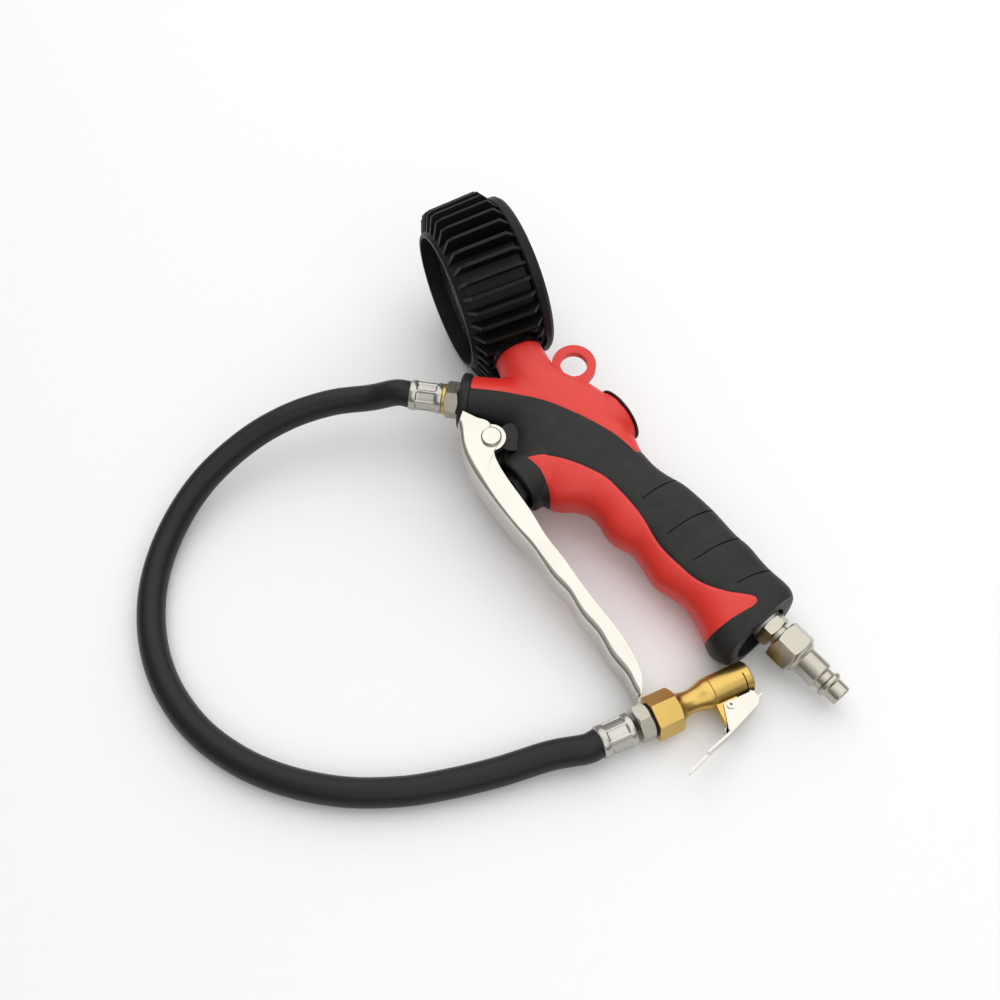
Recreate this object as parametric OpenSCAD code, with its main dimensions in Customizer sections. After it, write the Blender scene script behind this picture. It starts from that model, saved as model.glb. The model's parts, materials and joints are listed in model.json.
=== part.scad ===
/* [Layout] */
// Shift that puts the footprint centre of the gun on the origin, X
shift_x = -34.18; // [-100:0.01:100]
// Shift that puts the footprint centre of the gun on the origin, Y
shift_y = -36.73; // [-100:0.01:100]
// Height of the gun's middle plane at its own origin
gun_z = 37.85; // [30:0.1:45]
// Sideways roll of the gun as it lies on its side
roll = 7; // [0:0.1:15]
// Nose-up angle of the gun as it lies on its side
dip = 7.15; // [0:0.1:15]
// Heading of the hose and chuck layout about the vertical
heading = 47.6; // [0:0.1:90]

/* [Handle] */
// Half thickness of the handle
handle_half = 17; // [14:0.5:20]
// Superellipse power of the handle's cross-section
handle_power = 2.5; // [2:0.1:4]
// Height of the air inlet axis in the gun's plane
inlet_y = 34.5; // [28:0.5:40]
// Slant of the handle's end face
end_slant = 10; // [0:1:15]
// Across flats of the air plug's hexagon
plug_flats = 22; // [19:0.5:24]

/* [Lever] */
// Outer width of the lever at its pivot
lever_wide = 27; // [24:0.5:30]
// Outer width of the lever at its tip
lever_narrow = 19; // [16:0.5:24]
// Thickness of the lever's sheet
lever_sheet = 1.5; // [1:0.1:2]
// Radius of the pivot pin
pivot_r = 3; // [2:0.1:4]

/* [Gauge] */
// Radius of the boot's front lip
lip_r = 42; // [40:0.5:46]
// Radius of the boot's rear band
band_r = 49; // [47:0.5:53]
// Radius of the fins' rear corners
fin_r = 55.5; // [52:0.5:57]
// Depth of the boot
boot_depth = 50; // [40:0.5:60]
// Number of fins round the boot
fin_count = 36; // [24:1:48]
// Radius of the gauge case
case_r = 39.9; // [36:0.1:42]
// Teeth on the needle's pinion
pinion_teeth = 12; // [8:1:16]

/* [Hose] */
// Radius of the hose
hose_r = 7.75; // [5:0.25:10]
// Radius of the pressed ferrules
ferrule_r = 8.6; // [8:0.1:10]

/* [Chuck] */
// Height of the chuck's axis above the table
chuck_z = 12; // [10.5:0.1:14]
// Across flats of the chuck's hexagon
chuck_flats = 21; // [19:0.5:24]
// Radius of the chuck's head
head_r = 8.75; // [8:0.25:10]
// Radius of the chuck's mouth
mouth_r = 4.1; // [4:0.05:5]

/* [Hidden] */
$fn = 64;
pivot = [6, -5];
valve_foot = [34, -12];
valve_turn = 85.4;
port_at = [-28.5, 1.5];
port_turn = 219.5;
lip_at = [-85, 39.3];
gauge_turn = 71.5;
stem_at = [-77, 63];
stem_turn = -18.5;
chuck_at = [78.1, -143.5];
chuck_turn = 25.1;
gun_home = [-18 + shift_x, 9.6 + shift_y, gun_z];
sector_r = 13.5;
pinion_r = 3;
gear_gap = sector_r + pinion_r;

// Handle sections: x, lower edge, upper edge, half thickness
sections = [
  [-16, 14, 50, 11], [-10, 9, 55, 14.5], [0, 6, 57, 16.5], [10, 5, 61, 17],
  [16, 1, 63.5, 17.5], [20, -4, 64.5, 17.5], [28, -6, 65.5, 18], [40, -7, 64.5, 18],
  [50, -7, 61.5, 18], [56, -5.5, 59, 17.5], [60.5, -2.3, 57.5, handle_half],
  [64.5, 2.4, 55.6, handle_half], [71.5, 7.3, 54.3, handle_half], [80, 8.2, 54, handle_half],
  [88.5, 5.9, 55.6, handle_half], [97, 6.4, 58, handle_half], [106, 9.4, 58.7, handle_half],
  [118, 7.2, 59, handle_half], [128, 5.3, 58.4, handle_half], [138, 7.8, 57.6, handle_half],
  [147, 9, 58.2, handle_half], [157, 7.2, 57, 17.2], [165, 4, 56.6, 17.6],
  [174, 0.3, 57.2, 18], [180, 1.2, 56.4, 18], [184.5, 3.5, 53, 17], [187, 7.5, 49, 14.5]
];

// Boundary of the upper hard shell seen from the side
upper_shell = [
  [-36, 17], [-25, 6.4], [-11.5, 17.4], [-2, 24], [10.5, 32], [28, 39.2], [43, 44.4],
  [55.5, 47.8], [66.5, 49.2], [68, 54.7], [68, 90], [-60, 90], [-60, 17]
];

// Boundary of the lower hard shell seen from the side
lower_shell = [
  [29.5, 0.7], [35.5, 8.8], [45, 15.3], [64.5, 23.7], [79, 24.6], [96.5, 23],
  [116, 18.5], [131.5, 18.2], [145, 19.9], [157.5, 25.6], [166, 32], [170, 34.4], [172.5, 33.5], [173, 30],
  [170, 16.7], [168.5, 4.5], [168.5, -30], [60.5, -30], [60.5, -10.2], [55.5, -5.3],
  [48.5, -1.1], [39.5, 1.1]
];

// Outline of the hard inner frame under the soft grip
frame_line = [
  [-6, 18], [-6, 46], [4, 50], [22, 56], [48, 54], [66, 48.5], [80, 48.5], [96, 51.5],
  [118, 52.5], [147, 51.5], [165, 50], [176, 49], [176, 13], [165, 12], [147, 15.5],
  [128, 12.5], [106, 16], [88, 13], [72, 14.5], [62, 9], [54, 4], [24, 4], [10, 14]
];

// Side outline of the lever, outer edge
lever_outer = [
  [-20, -8], [-10, -15], [0, -21.5], [11.5, -25.6], [24, -28], [42, -30.3], [58, -31.6],
  [70, -32.2], [80, -33.9], [90, -35.6], [102, -35.6], [115, -38.6], [128, -39.2],
  [141, -42.4], [153, -43.2], [162, -45.8], [166.25, -46.85]
];

// Side outline of the lever, inner edge of its flanges, tip to pivot
lever_inner = [
  [166.75, -45], [159, -37.6], [148, -33.3], [133.5, -30.4], [117.5, -29], [100.5, -26.9],
  [87, -24.8], [70, -22.8], [52.5, -18.9], [28, -15], [16, -12]
];

// Hose route on the table, gun end to chuck end
hose_mid = [
  [-76, 48, 36.5], [-100, 46, 34], [-125, 38.5, 30], [-149, 25, 24], [-171.5, 2.5, 17.5],
  [-186.5, -25.5, 11.5], [-193, -57.5, 8.5], [-190, -89.5, 7.9], [-179, -119, 7.9],
  [-160.5, -144, 7.9], [-137.5, -162, 7.9], [-111, -174, 7.9], [-80.5, -180.5, 7.9],
  [-50.5, -180.5, 7.9], [-25.5, -176.5, 8.2], [-0.5, -170.5, 9], [25.5, -162.5, 10.5]
];

function sgn_pow(v, p) = sign(v) * pow(abs(v), p);
function turn_z(p, a) = [
  p[0] * cos(a) - p[1] * sin(a),
  p[0] * sin(a) + p[1] * cos(a),
  p[2]
];
function gun_point(p) = let(
    a = [p[0], p[1] * cos(roll) - p[2] * sin(roll), p[1] * sin(roll) + p[2] * cos(roll)],
    b = [a[0] * cos(dip) + a[2] * sin(dip), a[1], -a[0] * sin(dip) + a[2] * cos(dip)]
  ) b + gun_home;
function bench_point(p) = turn_z(p, heading) + [shift_x, shift_y, 0];
function port_point(s) = gun_point([
  port_at[0] + s * cos(port_turn),
  port_at[1] + s * sin(port_turn),
  0
]);
function chuck_point(s) = bench_point([
  chuck_at[0] + s * cos(chuck_turn),
  chuck_at[1] + s * sin(chuck_turn),
  chuck_z
]);

// Smooth path through a list of points, with k steps per span
function spline_at(a, b, c, d, t) = 0.5 * (2 * b + (c - a) * t
  + (2 * a - 5 * b + 4 * c - d) * t * t + (3 * b - a - 3 * c + d) * t * t * t);
function spline(p, k) = let(n = len(p) - 1) concat(
  [for (i = [0 : n - 1], j = [0 : k - 1])
    spline_at(p[max(i - 1, 0)], p[i], p[i + 1], p[min(i + 2, n)], j / k)],
  [p[n]]
);
function unit(v) = v / norm(v);
function tangent(p, i) = unit(p[min(i + 1, len(p) - 1)] - p[max(i - 1, 0)]);

module tube(path, r, sides) {
  n = len(path);
  rings = [
    for (i = [0 : n - 1])
      let(t = tangent(path, i), u = unit(cross(t, [0, 0, 1])), v = cross(u, t))
      for (j = [0 : sides - 1])
        path[i] + r * (cos(360 * j / sides) * u + sin(360 * j / sides) * v)
  ];
  sides_faces = [
    for (i = [0 : n - 2], j = [0 : sides - 1])
      let(k = (j + 1) % sides)
      each [
        [i * sides + j, i * sides + k, (i + 1) * sides + k],
        [i * sides + j, (i + 1) * sides + k, (i + 1) * sides + j]
      ]
  ];
  first = [for (j = [0 : sides - 1]) sides - 1 - j];
  last = [for (j = [0 : sides - 1]) (n - 1) * sides + j];
  polyhedron(points = rings, faces = concat(sides_faces, [first], [last]), convexity = 8);
}

module handle_loft() {
  m = 28;
  n = len(sections);
  rings = [
    for (s = sections, j = [0 : m - 1])
      let(c = cos(360 * j / m), q = sin(360 * j / m), mid = (s[1] + s[2]) / 2)
      [
        s[0],
        mid + (s[2] - s[1]) / 2 * sgn_pow(c, 2 / handle_power),
        s[3] * sgn_pow(q, 2 / handle_power)
      ]
  ];
  skin = [
    for (i = [0 : n - 2], j = [0 : m - 1])
      let(k = (j + 1) % m)
      each [
        [i * m + j, (i + 1) * m + k, i * m + k],
        [i * m + j, (i + 1) * m + j, (i + 1) * m + k]
      ]
  ];
  first = [for (j = [0 : m - 1]) j];
  last = [for (j = [0 : m - 1]) n * m - 1 - j];
  polyhedron(points = rings, faces = concat(skin, [first], [last]), convexity = 6);
}

module gun() {
  translate(gun_home) rotate([roll, dip, 0]) children();
}

module bench() {
  translate([shift_x, shift_y, 0]) rotate([0, 0, heading]) children();
}

module valve_line(s) {
  translate([valve_foot[0], valve_foot[1], 0])
    rotate([0, 0, valve_turn]) rotate([0, 90, 0]) translate([0, 0, s]) children();
}

module port_line(s) {
  translate([port_at[0], port_at[1], 0])
    rotate([0, 0, port_turn]) rotate([0, 90, 0]) translate([0, 0, s]) children();
}

module gauge_line(s) {
  translate([lip_at[0], lip_at[1], 0])
    rotate([0, 0, gauge_turn]) rotate([0, 90, 0]) translate([0, 0, s]) children();
}

module stem_line(s) {
  translate([stem_at[0], stem_at[1], 0])
    rotate([0, 0, stem_turn]) rotate([0, 90, 0]) translate([0, 0, s]) children();
}

module inlet_line(s) {
  translate([s, inlet_y, 0]) rotate([0, 90, 0]) children();
}

module chuck_line(s) {
  bench() translate([chuck_at[0], chuck_at[1], chuck_z])
    rotate([0, 0, chuck_turn]) rotate([0, 90, 0]) translate([0, 0, s]) children();
}

// Chuck frame: X along the chuck towards its mouth, Z up
module chuck_flat() {
  bench() translate([chuck_at[0], chuck_at[1], chuck_z]) rotate([0, 0, chuck_turn]) children();
}

module ring(r_out, r_in, h) {
  difference() {
    cylinder(r = r_out, h = h);
    translate([0, 0, -1]) cylinder(r = r_in, h = h + 2);
  }
}

module hexagon(flats, h) {
  cylinder(d = flats / cos(30), h = h, $fn = 6);
}

// Everything the moulded body fills, before it is divided into its two colours
module body_bulk() {
  handle_loft();
  stem_line(51) cylinder(r1 = 14.5, r2 = 17, h = 32);
  port_line(-42) cylinder(r1 = 17, r2 = 15, h = 40);
  valve_line(1.5) cylinder(r1 = 17, r2 = 18, h = 20);
  valve_line(60) cylinder(r = 16, h = 15.2);
}

// The cast core's outside
module core_bulk() {
  valve_line(10) cylinder(r = 12, h = 62);
  inlet_line(37.7) cylinder(r = 9, h = 145.8);
  stem_line(51) cylinder(r = 9, h = 68);
  port_line(-50) cylinder(r = 9, h = 50);
}

module shell_regions() {
  translate([0, 0, -40]) linear_extrude(80) polygon(upper_shell);
  translate([0, 0, -40]) linear_extrude(80) polygon(lower_shell);
}

module inner_frame() {
  translate([0, 0, -10.5]) linear_extrude(21) polygon(frame_line);
}

module body_pockets() {
  valve_line(-10) cylinder(r = 14, h = 20);
  valve_line(75.2) cylinder(r = 30, h = 20);
  valve_line(71) cylinder(r = 12, h = 6);
  for (y = [inlet_y, 22])
    translate([178, y, 0]) rotate([0, 90, 0]) cylinder(r = 11.5, h = 20);
  translate([178, 22, -11.5]) cube([20, inlet_y - 22, 23]);
  translate([184.5, -20, 0]) rotate([0, -end_slant, 0]) translate([0, 0, -40]) cube([30, 100, 80]);
}

module port_flange() {
  port_line(-6) cylinder(r = 16.5, h = 6);
}

module housing() {
  color([0.85, 0.1, 0.08])
  gun() difference() {
    union() {
      intersection() {
        body_bulk();
        shell_regions();
      }
      inner_frame();
    }
    core_bulk();
    body_pockets();
    port_flange();
  }
}

module grip() {
  color([0.08, 0.08, 0.08])
  gun() difference() {
    union() {
      body_bulk();
      port_flange();
    }
    difference() {
      shell_regions();
      port_flange();
    }
    inner_frame();
    core_bulk();
    body_pockets();
  }
}

module valve_body() {
  color([0.75, 0.75, 0.77])
  gun() difference() {
    core_bulk();
    valve_line(9) cylinder(r = 3.06, h = 5);
    valve_line(13) cylinder(r = 7, h = 20);
    valve_line(32) cylinder(r = 4.5, h = 5);
    valve_line(36) cylinder(r = 8, h = 40);
    inlet_line(42) cylinder(r = 5, h = 145);
    inlet_line(176) cylinder(r = 6.5, h = 12);
    stem_line(50) cylinder(r = 6, h = 14);
    stem_line(60) cylinder(r = 4, h = 54);
    port_line(-14) cylinder(r = 6.5, h = 15);
    port_line(-50) cylinder(r = 4, h = 38);
  }
}

module hang_eye() {
  color([0.85, 0.1, 0.08])
  gun() translate([-1, 66, -2.5]) difference() {
    cylinder(r = 13, h = 5);
    translate([0, 0, -1]) cylinder(r = 8, h = 7);
  }
}

module valve_cap() {
  color([0.08, 0.08, 0.08])
  gun() valve_line(72) difference() {
    union() {
      cylinder(r = 11.95, h = 3.4);
      translate([0, 0, 3.3]) cylinder(r = 16.6, h = 1);
      translate([0, 0, 4.3]) cylinder(r1 = 16.6, r2 = 15.2, h = 0.8);
    }
    translate([0, 0, -1]) cylinder(r = 8, h = 3);
  }
}

module valve_plug() {
  color([0.78, 0.6, 0.25])
  gun() valve_line(64) difference() {
    cylinder(r = 8, h = 10);
    translate([0, 0, -1]) cylinder(r = 5, h = 4);
  }
}

module plug_seal() {
  color([0.05, 0.05, 0.05])
  gun() valve_line(62.4) ring(8, 6.4, 1.6);
}

module valve_spring() {
  color([0.7, 0.7, 0.7])
  gun() valve_line(0)
    tube([for (i = [0 : 60]) [4.2 * cos(30 * i), 4.2 * sin(30 * i), 43 + 23 * i / 60]], 0.6, 8);
}

module valve_plunger() {
  color([0.85, 0.83, 0.78])
  gun() valve_line(0) union() {
    translate([0, 0, -12]) cylinder(r = 3, h = 49.6);
    translate([0, 0, -12]) sphere(r = 3);
  }
}

module poppet() {
  color([0.78, 0.6, 0.25])
  gun() valve_line(37.6) cylinder(r = 6.5, h = 4.4);
}

module poppet_seal() {
  color([0.05, 0.05, 0.05])
  gun() valve_line(37.05) ring(6.4, 3, 0.55);
}

module plunger_guide() {
  color([0.06, 0.06, 0.06])
  gun() valve_line(-3) difference() {
    union() {
      translate([0, 0, 1]) hexagon(19, 9);
      translate([0, 0, 8]) cylinder(r = 14, h = 5);
      hexagon(15, 2);
    }
    translate([0, 0, -1]) cylinder(r = 3.06, h = 16);
  }
}

module pivot_lug() {
  color([0.07, 0.07, 0.07])
  gun() difference() {
    union() {
      translate([pivot[0], pivot[1], -11.6]) cylinder(r = 9, h = 23.2);
      translate([13.2, 4.6, -11.6]) cylinder(r = 8.6, h = 23.2);
    }
    translate([pivot[0], pivot[1], -20]) cylinder(r = pivot_r, h = 40);
    inner_frame();
  }
}

module pivot_pin() {
  color([0.85, 0.83, 0.78])
  gun() translate([pivot[0], pivot[1], 0]) union() {
    translate([0, 0, -15.3]) cylinder(r = pivot_r, h = 30);
    translate([0, 0, 13.9]) cylinder(r = 5.8, h = 0.9);
    translate([0, 0, 14.8]) cylinder(r1 = 5.8, r2 = 5.1, h = 0.7);
  }
}

module pivot_clip() {
  color([0.6, 0.6, 0.6])
  gun() translate([pivot[0], pivot[1], -14.9]) ring(5.5, pivot_r, 1);
}

module lever_shape(wide_a, wide_b, side) {
  intersection() {
    translate([0, 0, -20]) linear_extrude(40) polygon(side);
    rotate([90, 0, 0]) translate([0, 0, -30]) linear_extrude(90)
      polygon([
        [-30, -wide_a / 2], [60, -wide_a / 2], [175, -wide_b / 2],
        [175, wide_b / 2], [60, wide_a / 2], [-30, wide_a / 2]
      ]);
  }
}

module lever() {
  side_out = concat(lever_outer, lever_inner, [[8, -3], [-4, -1], [-17.5, -6.5]]);
  side_in = concat(
    [[-40, -40], [-11.5, -40], [-11.5, -12.4]],
    [for (p = lever_outer) if (p[0] > -11) [p[0] + 0.3, p[1] + lever_sheet]],
    [[174, -40], [174, 20], [-40, 20]]
  );
  color([0.88, 0.87, 0.84])
  gun() difference() {
    union() {
      lever_shape(lever_wide, lever_narrow, side_out);
      for (k = [-1, 1])
        translate([pivot[0], pivot[1], k * (lever_wide - lever_sheet) / 2])
          cylinder(r = 8.3, h = lever_sheet, center = true);
    }
    lever_shape(lever_wide - 2 * lever_sheet, lever_narrow - 2 * lever_sheet, side_in);
    translate([pivot[0], pivot[1], -20]) cylinder(r = pivot_r + 0.05, h = 40);
  }
}

module inlet_bush() {
  color([0.86, 0.84, 0.8])
  gun() difference() {
    union() {
      inlet_line(176) cylinder(r = 6.5, h = 17);
      inlet_line(183.5) rotate([0, 0, 34]) hexagon(17.5, 7);
    }
    inlet_line(175) cylinder(r = 5, h = 20);
  }
}

module inlet_filter() {
  color([0.7, 0.6, 0.4])
  gun() inlet_line(160) difference() {
    cylinder(r = 5, h = 15);
    translate([0, 0, 1]) cylinder(r = 4, h = 15);
  }
}

module air_plug() {
  color([0.86, 0.84, 0.8])
  gun() difference() {
    union() {
      inlet_line(184) cylinder(r = 4.95, h = 10);
      inlet_line(193) rotate([0, 0, 27]) hexagon(plug_flats, 14);
      inlet_line(207) cylinder(r1 = 11, r2 = 9.5, h = 1.5);
      inlet_line(208) cylinder(r = 7.8, h = 14);
      inlet_line(222) cylinder(r = 6, h = 4);
      inlet_line(226) cylinder(r = 7.6, h = 3);
      inlet_line(229) cylinder(r = 6, h = 7);
      inlet_line(236) cylinder(r1 = 6, r2 = 5.2, h = 1);
    }
    inlet_line(183) cylinder(r = 3.2, h = 60);
  }
}

module gauge_stem() {
  color([0.8, 0.62, 0.28])
  gun() difference() {
    union() {
      stem_line(40.1) hexagon(21, 8.3);
      stem_line(48) cylinder(r = 5.95, h = 13);
      stem_line(27) cylinder(r = 5.3, h = 13.5);
      stem_line(27) translate([-8, -5.3, 0]) cube([16, 13.3, 9]);
    }
    stem_line(30) cylinder(r = 2, h = 40);
  }
}

module stem_collar() {
  color([0.06, 0.06, 0.06])
  gun() stem_line(48.5) ring(15, 6, 2.4);
}

module gauge_boot() {
  color([0.07, 0.07, 0.07])
  gun() difference() {
    gauge_line(0) union() {
      rotate_extrude($fn = 96) polygon([
        [40, 0], [lip_r, 0], [lip_r + 1, 2], [44.5, 5], [45, 42], [band_r - 1, 43],
        [band_r, 44], [band_r, 48], [band_r - 1.5, boot_depth], [30, boot_depth],
        [30, 47.5], [40, 47.5]
      ]);
      for (i = [0 : fin_count - 1])
        rotate([0, 0, (i + 0.5) * 360 / fin_count])
          rotate([90, 0, 0]) translate([0, 0, -1]) linear_extrude(2)
            polygon([
              [42, 1.5], [fin_r - 2.5, 5.5], [fin_r - 1.5, 9], [fin_r, 38], [band_r, 43.6], [42, 43.6]
            ]);
    }
    stem_line(36) cylinder(r = 15.5, h = 30);
    stem_line(46.5) cylinder(r = 20, h = 20);
  }
}

module gauge_case() {
  color([0.12, 0.12, 0.13])
  gun() difference() {
    gauge_line(14) cylinder(r = case_r, h = 33.3, $fn = 96);
    gauge_line(13) cylinder(r = case_r - 1.6, h = 32.7, $fn = 96);
    stem_line(30) cylinder(r = 5.4, h = 20);
  }
}

module bezel() {
  color([0.15, 0.15, 0.16])
  gun() gauge_line(9.2) rotate_extrude($fn = 96)
    polygon([[36.6, 0], [39.2, 0], [39.9, 0.7], [39.9, 4.8], [38.6, 4.8], [38.6, 2.7], [36.6, 2.7]]);
}

module gauge_lens() {
  color([0.85, 0.9, 0.95, 0.35])
  gun() gauge_line(11.95) cylinder(r = 38.5, h = 2, $fn = 96);
}

module dial() {
  color([0.95, 0.95, 0.95])
  gun() gauge_line(18.5) difference() {
    cylinder(r = case_r - 1.65, h = 0.8, $fn = 96);
    translate([0, 0, -1]) cylinder(r = 2.6, h = 3);
  }
}

module dial_marks() {
  color([0.05, 0.05, 0.05])
  gun() gauge_line(18.3) union() {
    ring(34.3, 33.7, 0.2);
    for (i = [0 : 32])
      rotate([0, 0, -45 + i * 270 / 32])
        translate([i % 4 == 0 ? 28 : 31, -0.3, 0]) cube([i % 4 == 0 ? 6 : 3, 0.6, 0.2]);
  }
}

module stop_pin() {
  color([0.6, 0.6, 0.6])
  gun() gauge_line(15) rotate([0, 0, -52]) translate([20, 0, 0]) cylinder(r = 0.6, h = 3.5, $fn = 24);
}

module needle() {
  color([0.75, 0.08, 0.05])
  gun() gauge_line(0) union() {
    translate([0, 0, 15]) cylinder(r = 3.2, h = 1.6);
    translate([0, 0, 15.8]) rotate([0, 0, -45]) linear_extrude(0.7)
      polygon([[-9, -1.8], [0, -1.2], [26, -0.5], [29, 0], [26, 0.5], [0, 1.2], [-9, 1.8]]);
  }
}

module needle_arbor() {
  color([0.8, 0.62, 0.28])
  gun() gauge_line(0) union() {
    translate([0, 0, 16.6]) cylinder(r = 1, h = 15.5, $fn = 32);
    translate([0, 0, 24]) linear_extrude(3) union() {
      circle(r = pinion_r - 0.55, $fn = 32);
      for (i = [0 : pinion_teeth - 1])
        rotate([0, 0, 90 + i * 360 / pinion_teeth])
          polygon([[2, -0.32], [3.3, -0.16], [3.3, 0.16], [2, 0.32]]);
    }
  }
}

module sector() {
  color([0.8, 0.62, 0.28])
  gun() gauge_line(0) translate([0, -gear_gap, 0]) union() {
    translate([0, 0, 19.6]) cylinder(r = 1, h = 12.5, $fn = 32);
    translate([0, 0, 24.5]) linear_extrude(2) union() {
      difference() {
        circle(r = sector_r - 0.55, $fn = 96);
        polygon([[0, 0], [30 * cos(80), 30 * sin(80)], [40, 0], [0, -40], [-40, 0],
          [30 * cos(160), 30 * sin(160)]]);
      }
      circle(r = 3, $fn = 32);
      for (i = [0 : 10])
        rotate([0, 0, 90 - 3.333 + 6.667 * i])
          polygon([[12.5, -0.3], [13.8, -0.14], [13.8, 0.14], [12.5, 0.3]]);
      rotate([0, 0, 300]) translate([0, -1.2]) square([9, 2.4]);
    }
  }
}

module movement() {
  color([0.8, 0.62, 0.28])
  gun() gauge_line(0) difference() {
    union() {
      translate([-10, -27, 20.5]) cube([20, 33, 1.2]);
      translate([-10, -27, 31]) cube([20, 33, 1.2]);
      for (x = [-8, 8])
        translate([x, 3.5, 20.5]) cylinder(r = 1.3, h = 11.5, $fn = 24);
    }
    translate([0, 0, 19]) cylinder(r = 1.06, h = 20, $fn = 32);
    translate([0, -gear_gap, 16]) cylinder(r = 1.06, h = 20, $fn = 32);
  }
}

module bourdon_tube() {
  color([0.8, 0.62, 0.28])
  gun() gauge_line(25) rotate([0, 0, -75]) rotate_extrude(angle = 250, $fn = 96)
    translate([32, 0]) square([2.4, 9], center = true);
}

module hose_nut() {
  color([0.86, 0.84, 0.8])
  gun() difference() {
    union() {
      port_line(-14) cylinder(r = 6.5, h = 15);
      port_line(0.5) rotate([0, 0, -7.4]) hexagon(19, 8);
    }
    port_line(-15) cylinder(r = 3.5, h = 30);
  }
}

module hose_washer() {
  color([0.8, 0.62, 0.28])
  gun() port_line(8.5) ring(9, 3.5, 1.5);
}

module port_seal() {
  color([0.05, 0.05, 0.05])
  gun() port_line(0) ring(9, 6.5, 0.5);
}

module ferrule_shape() {
  difference() {
    union() {
      cylinder(r = ferrule_r, h = 19.5);
      translate([0, 0, 1.5]) cylinder(r = ferrule_r + 0.3, h = 2);
      translate([0, 0, 16]) cylinder(r = ferrule_r + 0.3, h = 2);
    }
    translate([0, 0, 2]) cylinder(r = hose_r, h = 20);
    translate([0, 0, -1]) cylinder(r = 3.5, h = 5);
    for (i = [0 : 7])
      rotate([0, 0, 14 + i * 45]) translate([ferrule_r - 0.4, -1.6, 4.5]) cube([2, 3.2, 10.5]);
  }
}

module gun_ferrule() {
  color([0.82, 0.81, 0.78])
  gun() port_line(10) ferrule_shape();
}

module hose() {
  path = concat(
    [port_point(12.2), port_point(21), port_point(29.5), port_point(38)],
    [for (p = hose_mid) bench_point(p)],
    [chuck_point(-38), chuck_point(-31), chuck_point(-22), chuck_point(-13.2)]
  );
  color([0.06, 0.06, 0.06])
  tube(spline(path, 3), hose_r, 12);
}

module chuck_ferrule() {
  color([0.82, 0.81, 0.78])
  chuck_line(-11) rotate([180, 0, 0]) ferrule_shape();
}

module chuck_nut() {
  color([0.86, 0.84, 0.8])
  difference() {
    union() {
      chuck_line(-11) cylinder(r = 7, h = 3);
      chuck_line(-9) rotate([0, 0, 8.7]) hexagon(18, 8);
      chuck_line(-3) cylinder(r = 5.95, h = 9.9);
    }
    chuck_line(-12) cylinder(r = 3, h = 30);
  }
}

module chuck_washer() {
  color([0.05, 0.05, 0.05])
  chuck_line(-1) ring(9, 6, 1);
}

module chuck_body() {
  color([0.85, 0.66, 0.2])
  difference() {
    union() {
      chuck_line(0) rotate([0, 0, 49.7]) intersection() {
        hexagon(chuck_flats, 15);
        rotate_extrude() polygon([[0, 0], [11.2, 0], [12.2, 1], [12.2, 13], [9, 15], [0, 15]]);
      }
      chuck_line(0) rotate_extrude() polygon([
        [0, 14], [9.9, 14.6], [8.6, 15.7], [7.5, 17.3], [6.7, 19.6], [6.3, 22.5], [6.4, 25], [6.9, 27.5],
        [7.7, 30], [8.5, 32.6], [8.5, 34.8], [head_r, 35], [head_r, 57.4], [head_r - 0.6, 58], [0, 58]
      ]);
      chuck_flat() translate([0, 0, -2.6]) linear_extrude(5.2)
        polygon([[34, -6], [47, -6], [46, -12.5], [41.5, -14.8], [36, -17.5], [34.5, -19.5], [33, -18]]);
    }
    chuck_line(-1) cylinder(r = 6, h = 8);
    chuck_line(0) cylinder(r = 3, h = 60);
    chuck_line(26) cylinder(r = 5, h = 20);
    chuck_line(44) cylinder(r = mouth_r, h = 20);
    chuck_flat() translate([53, -12, -2.8]) cube([4, 9.5, 5.6]);
    chuck_flat() translate([53.2, -12, -10]) cube([0.7, 11.8, 20]);
    chuck_flat() translate([40.5, -11.7, -5]) cylinder(r = 1.5, h = 10);
  }
}

module chuck_seal() {
  color([0.05, 0.05, 0.05])
  chuck_line(42.4) ring(5, 2.2, 3.6);
}

module core_pin() {
  color([0.8, 0.62, 0.28])
  chuck_line(0) union() {
    translate([0, 0, 32]) cylinder(r = 1.5, h = 13.9);
    translate([0, 0, 37]) cylinder(r = 4.6, h = 2.5);
  }
}

module pin_spring() {
  color([0.7, 0.7, 0.7])
  chuck_line(0)
    tube([for (i = [0 : 36]) [3.4 * cos(40 * i), 3.4 * sin(40 * i), 27.2 + 9 * i / 36]], 0.35, 8);
}

module clip_rivet() {
  color([0.86, 0.84, 0.8])
  chuck_flat() translate([40.5, -11.7, 0]) difference() {
    union() {
      translate([0, 0, -4.9]) cylinder(r = 1.5, h = 9.8);
      translate([0, 0, 4.3]) cylinder(r = 2.3, h = 0.6);
      translate([0, 0, -4.9]) cylinder(r = 2.3, h = 0.6);
    }
    translate([0, 0, 2]) cylinder(r = 0.8, h = 5);
  }
}

module clip_spring() {
  color([0.7, 0.7, 0.7])
  chuck_flat() translate([0, 0, -1.5]) linear_extrude(3)
    polygon([[33.6, -19.8], [34.2, -19.8], [31.3, -22.6], [30.7, -22.4]]);
}

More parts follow.
